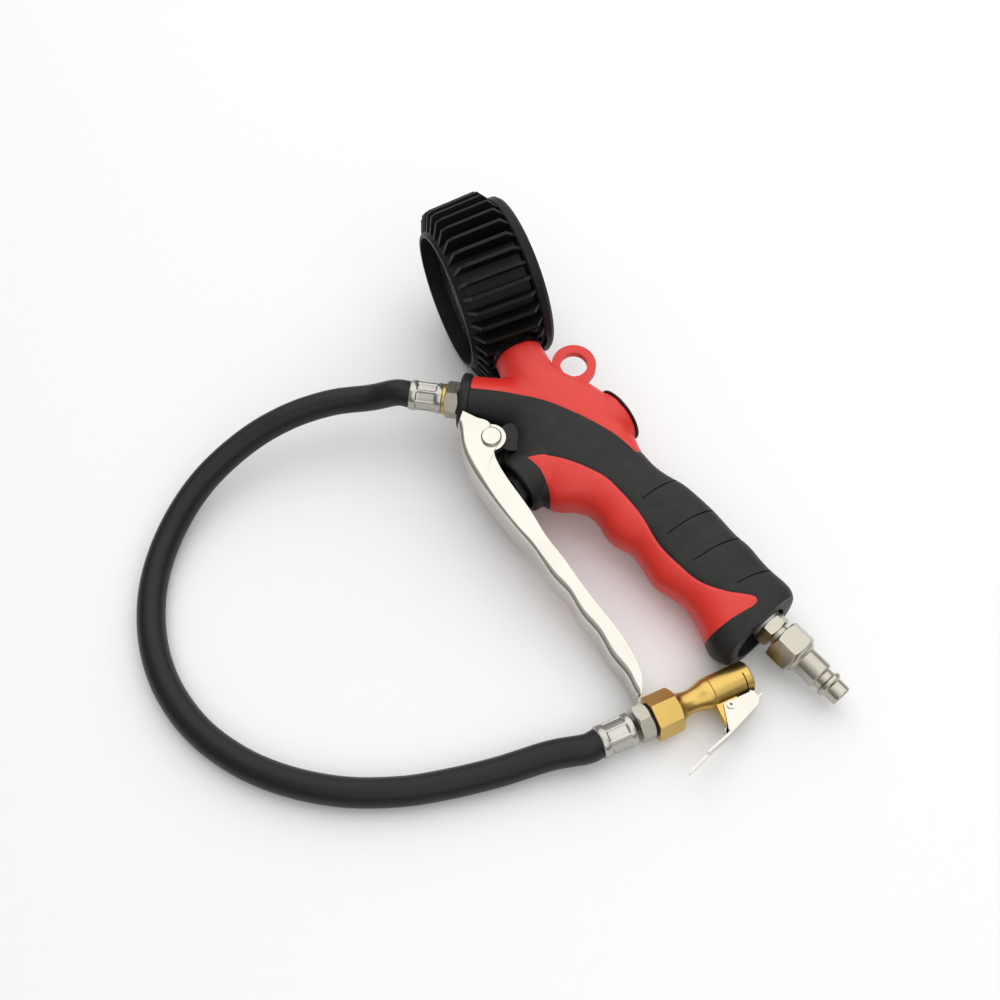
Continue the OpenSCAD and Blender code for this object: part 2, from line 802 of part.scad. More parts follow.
module chuck_clip() {
  color([0.88, 0.87, 0.84])
  chuck_flat() difference() {
    union() {
      for (z = [-4.1, 3.1])
        translate([0, 0, z]) linear_extrude(1)
          polygon([[37.5, -9.6], [55, -9.6], [56, -13], [52.6, -17.6], [33.5, -24.6], [32.6, -23]]);
      translate([0, 0, -4.1]) linear_extrude(8.2)
        polygon([[56, -14.6], [56, -13.4], [52.6, -16.6], [30.5, -24.6], [17, -28.4],
          [17, -29.4], [31, -25.8], [53, -17.7]]);
      translate([0, 0, -2]) linear_extrude(4)
        polygon([[18, -28.6], [4, -33.4], [3.4, -34.2], [4.2, -34.3], [18, -29.6]]);
      translate([0, 0, -2.3]) linear_extrude(4.6)
        polygon([[53.8, -4.7], [54.8, -4.7], [55.3, -14.4], [54.3, -14.4]]);
      translate([0, 0, -3]) linear_extrude(6)
        polygon([[54.3, -13.4], [59, -12.2], [59.2, -13], [55, -14.6]]);
    }
    translate([40.5, -11.7, -6]) cylinder(r = 1.55, h = 12);
  }
}

housing();
grip();
valve_body();
hang_eye();
valve_cap();
valve_plug();
plug_seal();
valve_spring();
valve_plunger();
poppet();
poppet_seal();
plunger_guide();
pivot_lug();
pivot_pin();
pivot_clip();
lever();
inlet_bush();
inlet_filter();
air_plug();
gauge_stem();
stem_collar();
gauge_boot();
gauge_case();
bezel();
gauge_lens();
dial();
dial_marks();
stop_pin();
needle();
needle_arbor();
sector();
movement();
bourdon_tube();
hose_nut();
hose_washer();
port_seal();
gun_ferrule();
hose();
chuck_ferrule();
chuck_nut();
chuck_washer();
chuck_body();
chuck_seal();
core_pin();
pin_spring();
clip_rivet();
clip_spring();
chuck_clip();
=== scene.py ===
import json
import math

import bmesh
import bpy
import numpy as np
from mathutils import Matrix, Vector


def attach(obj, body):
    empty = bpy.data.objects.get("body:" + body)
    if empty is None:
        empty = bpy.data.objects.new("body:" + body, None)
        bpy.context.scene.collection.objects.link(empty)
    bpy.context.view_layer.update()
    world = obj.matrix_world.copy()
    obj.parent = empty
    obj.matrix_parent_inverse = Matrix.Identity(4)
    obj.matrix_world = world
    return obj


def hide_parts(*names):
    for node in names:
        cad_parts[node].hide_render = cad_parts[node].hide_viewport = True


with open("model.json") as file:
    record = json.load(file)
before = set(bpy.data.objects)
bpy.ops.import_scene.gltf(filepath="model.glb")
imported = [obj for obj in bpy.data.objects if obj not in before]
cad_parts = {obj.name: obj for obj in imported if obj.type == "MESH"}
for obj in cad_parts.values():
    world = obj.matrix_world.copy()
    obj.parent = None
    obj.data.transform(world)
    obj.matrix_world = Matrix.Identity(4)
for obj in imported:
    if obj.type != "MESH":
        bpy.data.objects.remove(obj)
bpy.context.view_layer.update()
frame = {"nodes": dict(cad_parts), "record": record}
NODES = frame["nodes"]
MM = 0.001

# ---------------------------------------------------------------- layout, as in the CAD source (mm)
SHIFT = Vector((-34.18, -36.73, 0))
GUN_HOME = Vector((-18, 9.6, 37.85)) + SHIFT
ROLL, DIP, HEADING = 7, 7.15, 47.6
PIVOT = (6, -5)
PORT_AT, PORT_TURN = (-28.5, 1.5), 219.5
STEM_AT, STEM_TURN = (-77, 63), -18.5
VALVE_FOOT, VALVE_TURN = (34, -12), 85.4
LIP_AT, GAUGE_TURN = (-85, 39.3), 71.5
INLET_Y = 34.5
CHUCK_AT, CHUCK_TURN, CHUCK_Z = (78.1, -143.5), 25.1, 12
HOSE_R = 7.75
HANDLE_POWER = 2.5


def turned(axis, degrees):
    return Matrix.Rotation(math.radians(degrees), 4, axis)


GUN = Matrix.Translation(GUN_HOME) @ turned("Y", DIP) @ turned("X", ROLL)
BENCH = Matrix.Translation(SHIFT) @ turned("Z", HEADING)


def along(home, at, turn, s=0.0, z=0.0):
    """A frame whose Z runs along a line that starts at `at`, turned in the XY plane of home."""
    return (
        home
        @ Matrix.Translation((at[0], at[1], z))
        @ turned("Z", turn)
        @ turned("Y", 90)
        @ Matrix.Translation((0, 0, s))
    )


def port_line(s):
    return along(GUN, PORT_AT, PORT_TURN, s)


def stem_line(s):
    return along(GUN, STEM_AT, STEM_TURN, s)


def valve_line(s):
    return along(GUN, VALVE_FOOT, VALVE_TURN, s)


def gauge_line(s):
    return along(GUN, LIP_AT, GAUGE_TURN, s)


def chuck_line(s):
    return along(BENCH, CHUCK_AT, CHUCK_TURN, s, CHUCK_Z)


# ---------------------------------------------------------------- camera
CAMERA_AT = (Vector((286.8, -261.8, 598.0)) + SHIFT) * MM
LENS, SENSOR = 43.4, 36.0


def add_camera():
    data = bpy.data.cameras.new("camera")
    data.lens = LENS
    data.sensor_width = SENSOR
    data.clip_start = 0.01
    cam = bpy.data.objects.new("camera", data)
    cam.location = CAMERA_AT
    look = SHIFT * MM - CAMERA_AT
    cam.rotation_mode = "QUATERNION"
    cam.rotation_quaternion = look.to_track_quat("-Z", "Y")
    bpy.context.collection.objects.link(cam)
    bpy.context.scene.camera = cam


add_camera()


# ---------------------------------------------------------------- materials
def noise(nodes, links, scale, detail=4.0, stretch=None):
    coords = nodes.new("ShaderNodeTexCoord")
    tex = nodes.new("ShaderNodeTexNoise")
    tex.inputs["Scale"].default_value = scale
    tex.inputs["Detail"].default_value = detail
    source = coords.outputs["Object"]
    if stretch:
        mapping = nodes.new("ShaderNodeMapping")
        mapping.inputs["Scale"].default_value = stretch
        links.new(source, mapping.inputs["Vector"])
        source = mapping.outputs["Vector"]
    links.new(source, tex.inputs["Vector"])
    return tex.outputs["Fac"]


def ramp(nodes, links, fac, low, high):
    node = nodes.new("ShaderNodeValToRGB")
    node.color_ramp.elements[0].color = low
    node.color_ramp.elements[0].position = 0.35
    node.color_ramp.elements[1].color = high
    node.color_ramp.elements[1].position = 0.65
    links.new(fac, node.inputs["Fac"])
    return node.outputs["Color"]


def material(
    name,
    color,
    rough,
    metallic=0.0,
    vary=0.08,
    grain=900.0,
    bump=0.03,
    rough_vary=0.05,
    stretch=None,
    **extra,
):
    """A principled material with a little noise in its colour, roughness and surface."""
    mat = bpy.data.materials.new(name)
    mat.use_nodes = True
    nodes, links = mat.node_tree.nodes, mat.node_tree.links
    shader = nodes["Principled BSDF"]
    fac = noise(nodes, links, grain * 0.12, 6.0, stretch)
    low = [c * (1 - vary) for c in color] + [1]
    high = [min(1, c * (1 + vary)) for c in color] + [1]
    links.new(ramp(nodes, links, fac, low, high), shader.inputs["Base Color"])
    rough_map = nodes.new("ShaderNodeMapRange")
    rough_map.inputs["To Min"].default_value = max(0.02, rough - rough_vary)
    rough_map.inputs["To Max"].default_value = min(1, rough + rough_vary)
    links.new(noise(nodes, links, grain * 0.3, 3.0, stretch), rough_map.inputs["Value"])
    links.new(rough_map.outputs["Result"], shader.inputs["Roughness"])
    shader.inputs["Metallic"].default_value = metallic
    bump_node = nodes.new("ShaderNodeBump")
    bump_node.inputs["Strength"].default_value = bump
    bump_node.inputs["Distance"].default_value = 0.0004
    links.new(noise(nodes, links, grain, 5.0, stretch), bump_node.inputs["Height"])
    links.new(bump_node.outputs["Normal"], shader.inputs["Normal"])
    for key, value in extra.items():
        shader.inputs[key.replace("_", " ")].default_value = value
    return mat


MATS = {
    "red_shell": material(
        "red_shell", (0.73, 0.03, 0.02), 0.42, vary=0.015, bump=0.08, grain=2600
    ),
    "soft_grip": material(
        "soft_grip", (0.012, 0.012, 0.0105), 0.5, vary=0.25, bump=0.25, grain=900,
        Specular_IOR_Level=0.32,
    ),
    "cast_alloy": material("cast_alloy", (0.6, 0.6, 0.62), 0.45, 1.0, bump=0.25, grain=1200),
    "black_plastic": material(
        "black_plastic", (0.006, 0.006, 0.006), 0.33, bump=0.06, grain=2000, Specular_IOR_Level=0.3
    ),
    "brass": material("brass", (0.55, 0.4, 0.13), 0.33, 1.0, stretch=(1, 1, 6)),
    "seal_rubber": material("seal_rubber", (0.008, 0.008, 0.008), 0.65, Specular_IOR_Level=0.3),
    "spring_steel": material("spring_steel", (0.55, 0.55, 0.56), 0.3, 1.0),
    "nickel": material(
        "nickel", (0.62, 0.598, 0.535), 0.2, 1.0, vary=0.03, bump=0.02, grain=300, rough_vary=0.03
    ),
    "plug_nickel": material(
        "plug_nickel", (0.46, 0.435, 0.37), 0.27, 1.0, vary=0.04, bump=0.03, grain=400,
        rough_vary=0.04,
    ),
    "boot_rubber": material(
        "boot_rubber", (0.006, 0.006, 0.0058), 0.48, bump=0.15, grain=2200, Specular_IOR_Level=0.22
    ),
    "black_steel": material("black_steel", (0.012, 0.012, 0.012), 0.3, bump=0.06),
    "dial_card": material("dial_card", (0.85, 0.85, 0.83), 0.5, bump=0.02),
    "dial_ink": material("dial_ink", (0.02, 0.02, 0.02), 0.5, bump=0.02),
    "needle_paint": material("needle_paint", (0.7, 0.03, 0.02), 0.4, bump=0.02),
    "zinc_steel": material(
        "zinc_steel", (0.46, 0.45, 0.41), 0.28, 1.0, vary=0.06, bump=0.04, grain=500
    ),
    "hose_rubber": material(
        "hose_rubber", (0.008, 0.008, 0.0082), 0.42, bump=0.06, grain=1800, Specular_IOR_Level=0.3
    ),
    "gold_alloy": material(
        "gold_alloy", (0.62, 0.42, 0.12), 0.32, 1.0, vary=0.03, bump=0.02, grain=600
    ),
}


def lens_material():
    mat = material("clear_lens", (0.97, 0.98, 0.98), 0.06, vary=0.01, bump=0.0, rough_vary=0.02)
    shader = mat.node_tree.nodes["Principled BSDF"]
    shader.inputs["Alpha"].default_value = 0.1
    shader.inputs["IOR"].default_value = 1.49
    return mat


MATS["clear_lens"] = lens_material()


def dress(obj, slot_name):
    obj.data.materials.clear()
    obj.data.materials.append(MATS[slot_name])


# ---------------------------------------------------------------- mesh helpers
def add_mesh(name, verts, faces, m, slot_name=None):
    """A mesh from points in millimetres in frame m, turned into metres in the row frame."""
    mesh = bpy.data.meshes.new(name)
    mesh.from_pydata([(m @ Vector(v)) * MM for v in verts], [], faces)
    mesh.validate()
    bm = bmesh.new()
    bm.from_mesh(mesh)
    bmesh.ops.recalc_face_normals(bm, faces=bm.faces)
    bm.to_mesh(mesh)
    bm.free()
    obj = bpy.data.objects.new(name, mesh)
    bpy.context.collection.objects.link(obj)
    if slot_name:
        dress(obj, slot_name)
    return obj


def lathe(name, profile, m, slot_name=None, sides=64):
    """A closed turned solid from (radius, height) points that start and end on the axis or ring."""
    verts, faces = [], []
    n = len(profile)
    for j in range(sides):
        a = 2 * math.pi * j / sides
        verts += [(r * math.cos(a), r * math.sin(a), z) for r, z in profile]
    for j in range(sides):
        k = (j + 1) % sides
        for i in range(n):
            t = (i + 1) % n
            faces.append((j * n + i, j * n + t, k * n + t, k * n + i))
    obj = add_mesh(name, verts, faces, m, slot_name)
    bm = bmesh.new()
    bm.from_mesh(obj.data)
    bmesh.ops.remove_doubles(bm, verts=bm.verts, dist=1e-7)
    bmesh.ops.recalc_face_normals(bm, faces=bm.faces)
    bm.to_mesh(obj.data)
    bm.free()
    return obj


def prism(name, outline, m, depth, z=0.0):
    """A straight block of an outline that reaches `depth` to either side of height z."""
    n = len(outline)
    verts = [(x, y, z - depth) for x, y in outline] + [(x, y, z + depth) for x, y in outline]
    faces = [tuple(range(n)), tuple(range(n, 2 * n))]
    faces += [(i, (i + 1) % n, n + (i + 1) % n, n + i) for i in range(n)]
    return add_mesh(name, verts, faces, m)


def apply_all(obj):
    """Bakes an object's modifiers into its mesh."""
    graph = bpy.context.evaluated_depsgraph_get()
    mesh = bpy.data.meshes.new_from_object(obj.evaluated_get(graph))
    old = obj.data
    obj.modifiers.clear()
    obj.data = mesh
    bpy.data.meshes.remove(old)
    return obj


def cut(obj, cutter, operation="DIFFERENCE"):
    """Takes the cutter away from an object, or with INTERSECT keeps what lies inside it."""
    mod = obj.modifiers.new("cut", "BOOLEAN")
    mod.operation = operation
    mod.solver = "EXACT"
    mod.object = cutter
    return apply_all(obj)


def drop(*objs):
    for o in objs:
        bpy.data.objects.remove(o, do_unlink=True)


def smooth(obj, angle=35):
    """Shades an object smooth except at edges sharper than the angle."""
    mesh = obj.data
    mesh.shade_smooth()
    mesh.set_sharp_from_angle(angle=math.radians(angle))
    return obj


def soften(obj, width, angle=40, segments=3):
    """Rounds an object's sharp edges by a bevel of that width in millimetres."""
    mod = obj.modifiers.new("bevel", "BEVEL")
    mod.width = width * MM
    mod.segments = segments
    mod.limit_method = "ANGLE"
    mod.angle_limit = math.radians(angle)
    mod.harden_normals = False
    return obj


def spline(points, steps):
    """A smooth path through points, in the way the CAD source draws it."""
    p = [Vector(q) for q in points]
    n = len(p) - 1
    out = []
    for i in range(n):
        a, b, c, d = p[max(i - 1, 0)], p[i], p[i + 1], p[min(i + 2, n)]
        for j in range(steps):
            t = j / steps
            out.append(
                0.5
                * (
                    2 * b
                    + (c - a) * t
                    + (2 * a - 5 * b + 4 * c - d) * t * t
                    + (3 * b - a - 3 * c + d) * t**3
                )
            )
    out.append(p[n])
    return out


# ---------------------------------------------------------------- hose
HOSE_MID = [
    (-76, 48, 36.5), (-100, 46, 34), (-125, 38.5, 30), (-149, 25, 24), (-171.5, 2.5, 17.5),
    (-186.5, -25.5, 11.5), (-193, -57.5, 8.5), (-190, -89.5, 7.9), (-179, -119, 7.9),
    (-160.5, -144, 7.9), (-137.5, -162, 7.9), (-111, -174, 7.9), (-80.5, -180.5, 7.9),
    (-50.5, -180.5, 7.9), (-25.5, -176.5, 8.2), (-0.5, -170.5, 9), (25.5, -162.5, 10.5),
]


def add_hose():
    """The hose as a tube from the gun's ferrule to the chuck's, by way of the table."""
    route = [port_line(s).translation for s in (12.2, 21, 29.5, 38)]
    route += [BENCH @ Vector(p) for p in HOSE_MID]
    route += [chuck_line(s).translation for s in (-38, -31, -22, -13.2)]
    path = [p * MM for p in spline(route, 8)]
    curve = bpy.data.curves.new("hose_tube", "CURVE")
    curve.dimensions = "3D"
    curve.bevel_depth = HOSE_R * MM
    curve.bevel_resolution = 10
    curve.use_fill_caps = True
    line = curve.splines.new("POLY")
    line.points.add(len(path) - 1)
    for point, p in zip(line.points, path):
        point.co = (*p, 1)
    obj = bpy.data.objects.new("hose_tube", curve)
    bpy.context.collection.objects.link(obj)
    dress(obj, "hose_rubber")
    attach(obj, "gun")
    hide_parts("hose")
    return obj, path


hose_tube, hose_path = add_hose()

# ---------------------------------------------------------------- moulded body
# Handle sections: x, lower edge, upper edge, half thickness
SECTIONS = [
    (-16, 14, 50, 11), (-10, 9, 55, 14.5), (0, 6, 57, 16.5), (10, 5, 61, 17),
    (16, 1, 63.5, 17.5), (20, -4, 64.5, 17.5), (28, -6, 65.5, 18), (40, -7, 64.5, 18),
    (50, -7, 61.5, 18), (56, -5.5, 59, 17.5), (60.5, -2.3, 57.5, 17), (64.5, 2.4, 55.6, 17),
    (71.5, 7.3, 54.3, 17), (80, 8.2, 54, 17), (88.5, 5.9, 55.6, 17), (97, 6.4, 58, 17),
    (106, 9.4, 58.7, 17), (118, 7.2, 59, 17), (128, 5.3, 58.4, 17), (138, 7.8, 57.6, 17),
    (147, 9, 58.2, 17), (157, 7.2, 57, 17.2), (165, 4, 56.6, 17.6), (174, 0.3, 57.2, 18),
    (180, 1.2, 56.4, 18), (184.5, 3.5, 53, 17), (187, 7.5, 49, 14.5),
]
# Round stretches of the bulk: name, line, start, radius at either end, length
BULK_CONES = [
    ("neck", stem_line, 51, 14.5, 17, 32),
    ("barrel", port_line, -42, 17, 15, 40),
    ("bulb", valve_line, 1.5, 17, 18, 20),
    ("boss", valve_line, 60, 16, 16, 15.2),
]
# Boundaries of the two red areas and the grip, seen from the side
UPPER_LINE = [
    (-36, 17), (-25, 6.4), (-11.5, 17.4), (-2, 24), (10.5, 32), (28, 39.2), (43, 44.4),
    (55.5, 47.8), (66.5, 49.2),
]
UPPER_END = [(68, 54.7), (68, 90), (-60, 90), (-60, 17)]
LOWER_LINE = [
    (29.5, 0.7), (35.5, 8.8), (45, 15.3), (64.5, 23.7), (79, 24.6), (96.5, 23),
    (116, 18.5), (131.5, 18.2), (145, 19.9), (157.5, 25.6), (166, 32), (170, 34.4),
    (172.5, 33.5), (173, 30),
]
LOWER_END = [(170, 16.7), (168.5, 4.5), (168.5, -30), (60.5, -30)]
BULB_LINE = [(60.5, -10.2), (55.5, -5.3), (48.5, -1.1), (39.5, 1.1)]
# The open end: radius of the pocket, its lower middle, and the slant of the cut
POCKET_R, POCKET_Y = 11.5, 22
END_SLANT = 10
MOUTH_R, SOCKET_R = 14, 12
VOXEL = 0.75
SEAM_DEEP, SEAM_WIDE = 0.35, 0.9
GROOVE_WIDE, GROOVE_DEEP = 0.8, 1.2
# Lines of the four cuts across the grip's back
GROOVES = [
    [(90.5, 30), (91, 40), (94.4, 60)],
    [(114, 26), (116, 42), (121, 62)],
    [(134, 25), (137, 42), (143, 62)],
    [(158.5, 33), (161, 43), (167, 60)],
]


def flat_spline(points, steps):
    """A smooth line through points in the plane."""
    return [(p.x, p.y) for p in spline([(x, y, 0) for x, y in points], steps)]


def loft_mesh():
    """The handle as a loft through its rounded sections."""
    edges = spline([(s[0], s[1], s[2]) for s in SECTIONS], 3)
    halves = spline([(s[3], 0, 0) for s in SECTIONS], 3)
    around = 64
    verts, faces = [], []
    for edge, half in zip(edges, halves):
        middle, reach = (edge.y + edge.z) / 2, (edge.z - edge.y) / 2
        for j in range(around):
            c, s = math.cos(2 * math.pi * j / around), math.sin(2 * math.pi * j / around)
            verts.append((
                edge.x,
                middle + reach * math.copysign(abs(c) ** (2 / HANDLE_POWER), c),
                half.x * math.copysign(abs(s) ** (2 / HANDLE_POWER), s),
            ))
    n = len(edges)
    for i in range(n - 1):
        for j in range(around):
            k = (j + 1) % around
            here, ahead = i * around, (i + 1) * around
            faces.append((here + j, here + k, ahead + k, ahead + j))
    faces.append(tuple(range(around)))
    faces.append(tuple((n - 1) * around + j for j in reversed(range(around))))
    return add_mesh("body_bulk", verts, faces, GUN)


def near_line(xy, line):
    """Distance from each point to a run of straight stretches."""
    best = np.full(len(xy), 1e9)
    for a, b in zip(line, line[1:]):
        a, b = np.array(a), np.array(b)
        t = np.clip(((xy - a) @ (b - a)) / ((b - a) @ (b - a)), 0, 1)
        best = np.minimum(best, np.linalg.norm(xy - a - t[:, None] * (b - a), axis=1))
    return best


def press_in(obj, line, depth, width):
    """Sinks the surface along a line drawn on the gun's side, or all of it without a line."""
    mesh = obj.data
    n = len(mesh.vertices)
    co, no = np.empty(n * 3), np.empty(n * 3)
    mesh.vertices.foreach_get("co", co)
    mesh.vertices.foreach_get("normal", no)
    co, no = co.reshape(-1, 3), no.reshape(-1, 3)
    back = np.array(GUN.inverted())
    local = (co / MM) @ back[:3, :3].T + back[:3, 3]
    away = near_line(local[:, :2], line) if line else np.zeros(n)
    co = co - no * (depth * MM * np.exp(-((away / width) ** 2)))[:, None]
    mesh.vertices.foreach_set("co", co.ravel())
    mesh.update()


def join(target, others):
    """Moves the other objects' meshes into the target."""
    bm = bmesh.new()
    bm.from_mesh(target.data)
    for o in others:
        bm.from_mesh(o.data)
    bm.to_mesh(target.data)
    bm.free()
    drop(*others)
    return target


def cone(name, m, r1, r2, h):
    return lathe(name, [(0, 0), (r1, 0), (r2, h), (0, h)], m)


def copy_of(obj, name):
    new = obj.copy()
    new.data = obj.data.copy()
    new.name = name
    bpy.context.collection.objects.link(new)
    return new


def ribbon(points, width):
    """The outline of a narrow strip along a smooth line."""
    line = [Vector((x, y)) for x, y in flat_spline(points, 4)]
    sides = []
    for i, p in enumerate(line):
        ahead = line[min(i + 1, len(line) - 1)] - line[max(i - 1, 0)]
        sides.append((p, Vector((-ahead.y, ahead.x)).normalized() * width / 2))
    return [tuple(p + w) for p, w in sides] + [tuple(p - w) for p, w in reversed(sides)]


def arc_angles(n):
    """Angles of n points evenly round a circle, none of them on the X axis."""
    return [2 * math.pi * (i + 0.5) / n for i in range(n)]


def add_body():
    """The moulded body: one remeshed bulk, cut along the seams into red areas and grip."""
    cones = [cone(name, line(s), r1, r2, h) for name, line, s, r1, r2, h in BULK_CONES]
    bulk = join(loft_mesh(), cones)
    mesher = bulk.modifiers.new("remesh", "REMESH")
    mesher.mode = "VOXEL"
    mesher.voxel_size = VOXEL * MM
    relax = bulk.modifiers.new("relax", "SMOOTH")
    relax.factor = 0.6
    relax.iterations = 9
    apply_all(bulk)
    upper_line = flat_spline(UPPER_LINE[1:], 5)
    lower_line = flat_spline(LOWER_LINE, 5)
    bulb_line = flat_spline(BULB_LINE, 4)
    for seam in (
        upper_line + [UPPER_END[0]],
        lower_line + LOWER_END[:2],
        bulb_line + [LOWER_LINE[0]],
    ):
        press_in(bulk, seam, SEAM_DEEP, SEAM_WIDE)
    sunken = copy_of(bulk, "sunken")
    press_in(sunken, None, GROOVE_DEEP, 1)
    mouth = cone("mouth", valve_line(-10), MOUTH_R, MOUTH_R, 20)
    around = [(POCKET_R * math.cos(a), POCKET_R * math.sin(a)) for a in arc_angles(24)]
    rim = [(x, (y + (INLET_Y if y > 0 else POCKET_Y))) for x, y in around]
    well = prism("well", rim, along(GUN, (188, 0), 0), 10)
    slanted = GUN @ Matrix.Translation((184.5, 30, 0)) @ turned("Y", 90 - END_SLANT)
    slice_off = prism("slice", [(-40, -50), (40, -50), (40, 50), (-40, 50)], slanted, 15, 15)
    socket = cone("socket", valve_line(71), SOCKET_R, SOCKET_R, 10)
    for cutter in (mouth, well, slice_off, socket):
        cut(bulk, cutter)
    drop(mouth, well, slice_off, socket)
    upper = prism("upper", [UPPER_LINE[0]] + upper_line + UPPER_END, GUN, 40)
    lower = prism("lower", lower_line + LOWER_END + bulb_line, GUN, 40)
    red_upper = cut(copy_of(bulk, "red_shell_upper"), upper, "INTERSECT")
    red_lower = cut(copy_of(bulk, "red_shell_lower"), lower, "INTERSECT")
    black = cut(cut(copy_of(bulk, "grip_skin"), upper), lower)
    for groove in GROOVES:
        slab = cut(prism("groove", ribbon(groove, GROOVE_WIDE), GUN, 40), sunken)
        cut(black, slab)
        drop(slab)
    drop(upper, lower, sunken, bulk)
    for obj, slot_name, node in (
        (red_upper, "red_shell", "housing"),
        (red_lower, "red_shell", "housing"),
        (black, "soft_grip", "grip"),
    ):
        dress(obj, slot_name)
        smooth(obj, 50)
        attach(obj, "gun")
        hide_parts(node)


def add_flange():
    """The thin rubber flange round the hose port."""
    flange = lathe(
        "port_flange",
        [(6.6, -6), (14.5, -6.5), (16.1, -5.6), (16.6, -4), (16.6, -1.2), (15.6, 0), (6.6, 0)],
        port_line(0),
        "soft_grip",
    )
    soften(smooth(flange, 40), 0.3)
    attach(flange, "gun")
    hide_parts("grip")


add_body()
add_flange()

# ---------------------------------------------------------------- lever
# Side outline of the channel: back, then the free edge of its flanges
LEVER_OUTER = [
    (-13, -13), (-10, -15), (0, -21.5), (11.5, -25.6), (24, -28), (42, -30.3), (58, -31.6),
    (70, -32.2), (80, -33.9), (90, -35.6), (102, -35.6), (115, -38.6), (128, -39.2),
    (141, -42.4), (153, -43.2), (162, -45.8), (166.25, -46.85),
]
LEVER_INNER = [
    (-17, -6.5), (-9, -3.6), (-1, -0.5), (12, -6.5), (15, -11), (28, -15), (52.5, -18.9),
    (70, -22.8), (87, -24.8), (100.5, -26.9), (117.5, -29), (133.5, -30.4), (148, -33.3),
    (159, -37.6), (166.3, -44.6),
]
# Half width along the lever
LEVER_HALF = [(-20, 13.5), (60, 13.5), (175, 9.5)]
LEVER_SHEET = 1.5
LEVER_CORNER = 3.2
LEVER_STEPS, CORNER_STEPS = 96, 8
EAR_R, PIN_HOLE_R = 8.3, 3.05


def add_lever():
    """The lever as a channel of bent sheet with a round ear at each side of its hinge."""
    outer = flat_spline(LEVER_OUTER, 6)
    inner = flat_spline(LEVER_INNER, 6)

    def sample(line, t):
        at = t * (len(line) - 1)
        i = min(int(at), len(line) - 2)
        f = at - i
        return Vector(line[i]).lerp(Vector(line[i + 1]), f)

    verts, faces = [], []
    for i in range(LEVER_STEPS + 1):
        t = i / LEVER_STEPS
        low, high = sample(outer, t), sample(inner, t)
        half = float(np.interp(low.x, *zip(*LEVER_HALF)))
        half -= LEVER_SHEET / 2
        up = high - low
        size = up.length
        up.normalize()
        corner = min(LEVER_CORNER, size * 0.8)
        side = [(half, size), (half, corner)]
        for k in range(1, CORNER_STEPS + 1):
            a = math.pi / 2 * k / CORNER_STEPS
            side.append((half - corner * (1 - math.cos(a)), corner * (1 - math.sin(a))))
        line = side + [(-z, h) for z, h in reversed(side)]
        for z, h in line:
            q = low + up * (h + LEVER_SHEET / 2)
            verts.append((q.x, q.y, z))
    rows = len(verts) // (LEVER_STEPS + 1)
    for i in range(LEVER_STEPS):
        for j in range(rows - 1):
            a = i * rows + j
            faces.append((a, a + 1, a + rows + 1, a + rows))
    obj = add_mesh("lever_channel", verts, faces, GUN, "nickel")
    thick = obj.modifiers.new("sheet", "SOLIDIFY")
    thick.thickness = LEVER_SHEET * MM
    thick.offset = 0
    apply_all(obj)
    soften(smooth(obj, 50), 0.35)
    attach(obj, "lever")
    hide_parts("lever")
    for side_sign in (-1, 1):
        z = side_sign * (LEVER_HALF[0][1] - LEVER_SHEET / 2)
        m = GUN @ Matrix.Translation((PIVOT[0], PIVOT[1], z - LEVER_SHEET / 2))
        ear = lathe(
            f"lever_ear_{'front' if side_sign > 0 else 'back'}",
            [(PIN_HOLE_R, 0), (EAR_R, 0), (EAR_R, LEVER_SHEET), (PIN_HOLE_R, LEVER_SHEET)],
            m,
            "nickel",
        )
        soften(smooth(ear, 40), 0.3)
        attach(ear, "lever")


add_lever()

# ---------------------------------------------------------------- turned and hexagonal metal
# Radius of a nut's end face, as a share of its half width
END_SHARE = 0.97


def hexed(name, flats, turn, outline, m, slot_name):
    """A hexagon cut down by a turned outline, so that its corners get curved chamfers."""
    obj = lathe(name, outline, m, slot_name, 96)
    low, high = min(z for _, z in outline), max(z for _, z in outline)
    corners = [math.radians(turn + 60 * i) for i in range(6)]
    reach = flats / 2 / math.cos(math.radians(30))
    outer = [(reach * math.cos(a), reach * math.sin(a)) for a in corners]
    block = prism(name + "_block", outer, m, (high - low) / 2 + 1, (high + low) / 2)
    cut(obj, block, "INTERSECT")
    drop(block)
    return soften(smooth(obj, 20), 0.22, 18, 2)


def barrel(low, high, hole, reach, flats, chamfer_low=True, chamfer_high=True):
    """The outline of a nut between two heights, chamfered at 30 degrees at either end."""
    end = flats / 2 * END_SHARE
    rise = (reach - end) * math.tan(math.radians(30))
    line = [(hole, low)]
    line += [(end, low), (reach, low + rise)] if chamfer_low else [(reach, low)]
    line += [(reach, high - rise), (end, high)] if chamfer_high else [(reach, high)]
    return line + [(hole, high)]


def nut(name, flats, turn, low, high, hole, m, slot_name, **ends):
    """A hexagon between two heights along m, with a round hole."""
    reach = flats / 2 / math.cos(math.radians(30)) + 0.02
    return hexed(name, flats, turn, barrel(low, high, hole, reach, flats, **ends), m, slot_name)


FERRULE_R, FERRULE_LONG, FERRULE_TURN = 8.6, 19.5, 14
PANEL_MIDDLE, PANEL_HALF, PANEL_SIDE, PANEL_DEEP = 9.6, 4.9, 2.0, 0.62
# Cuffs: height, width
CUFFS = [(2.2, 1.6), (17.3, 1.7)]


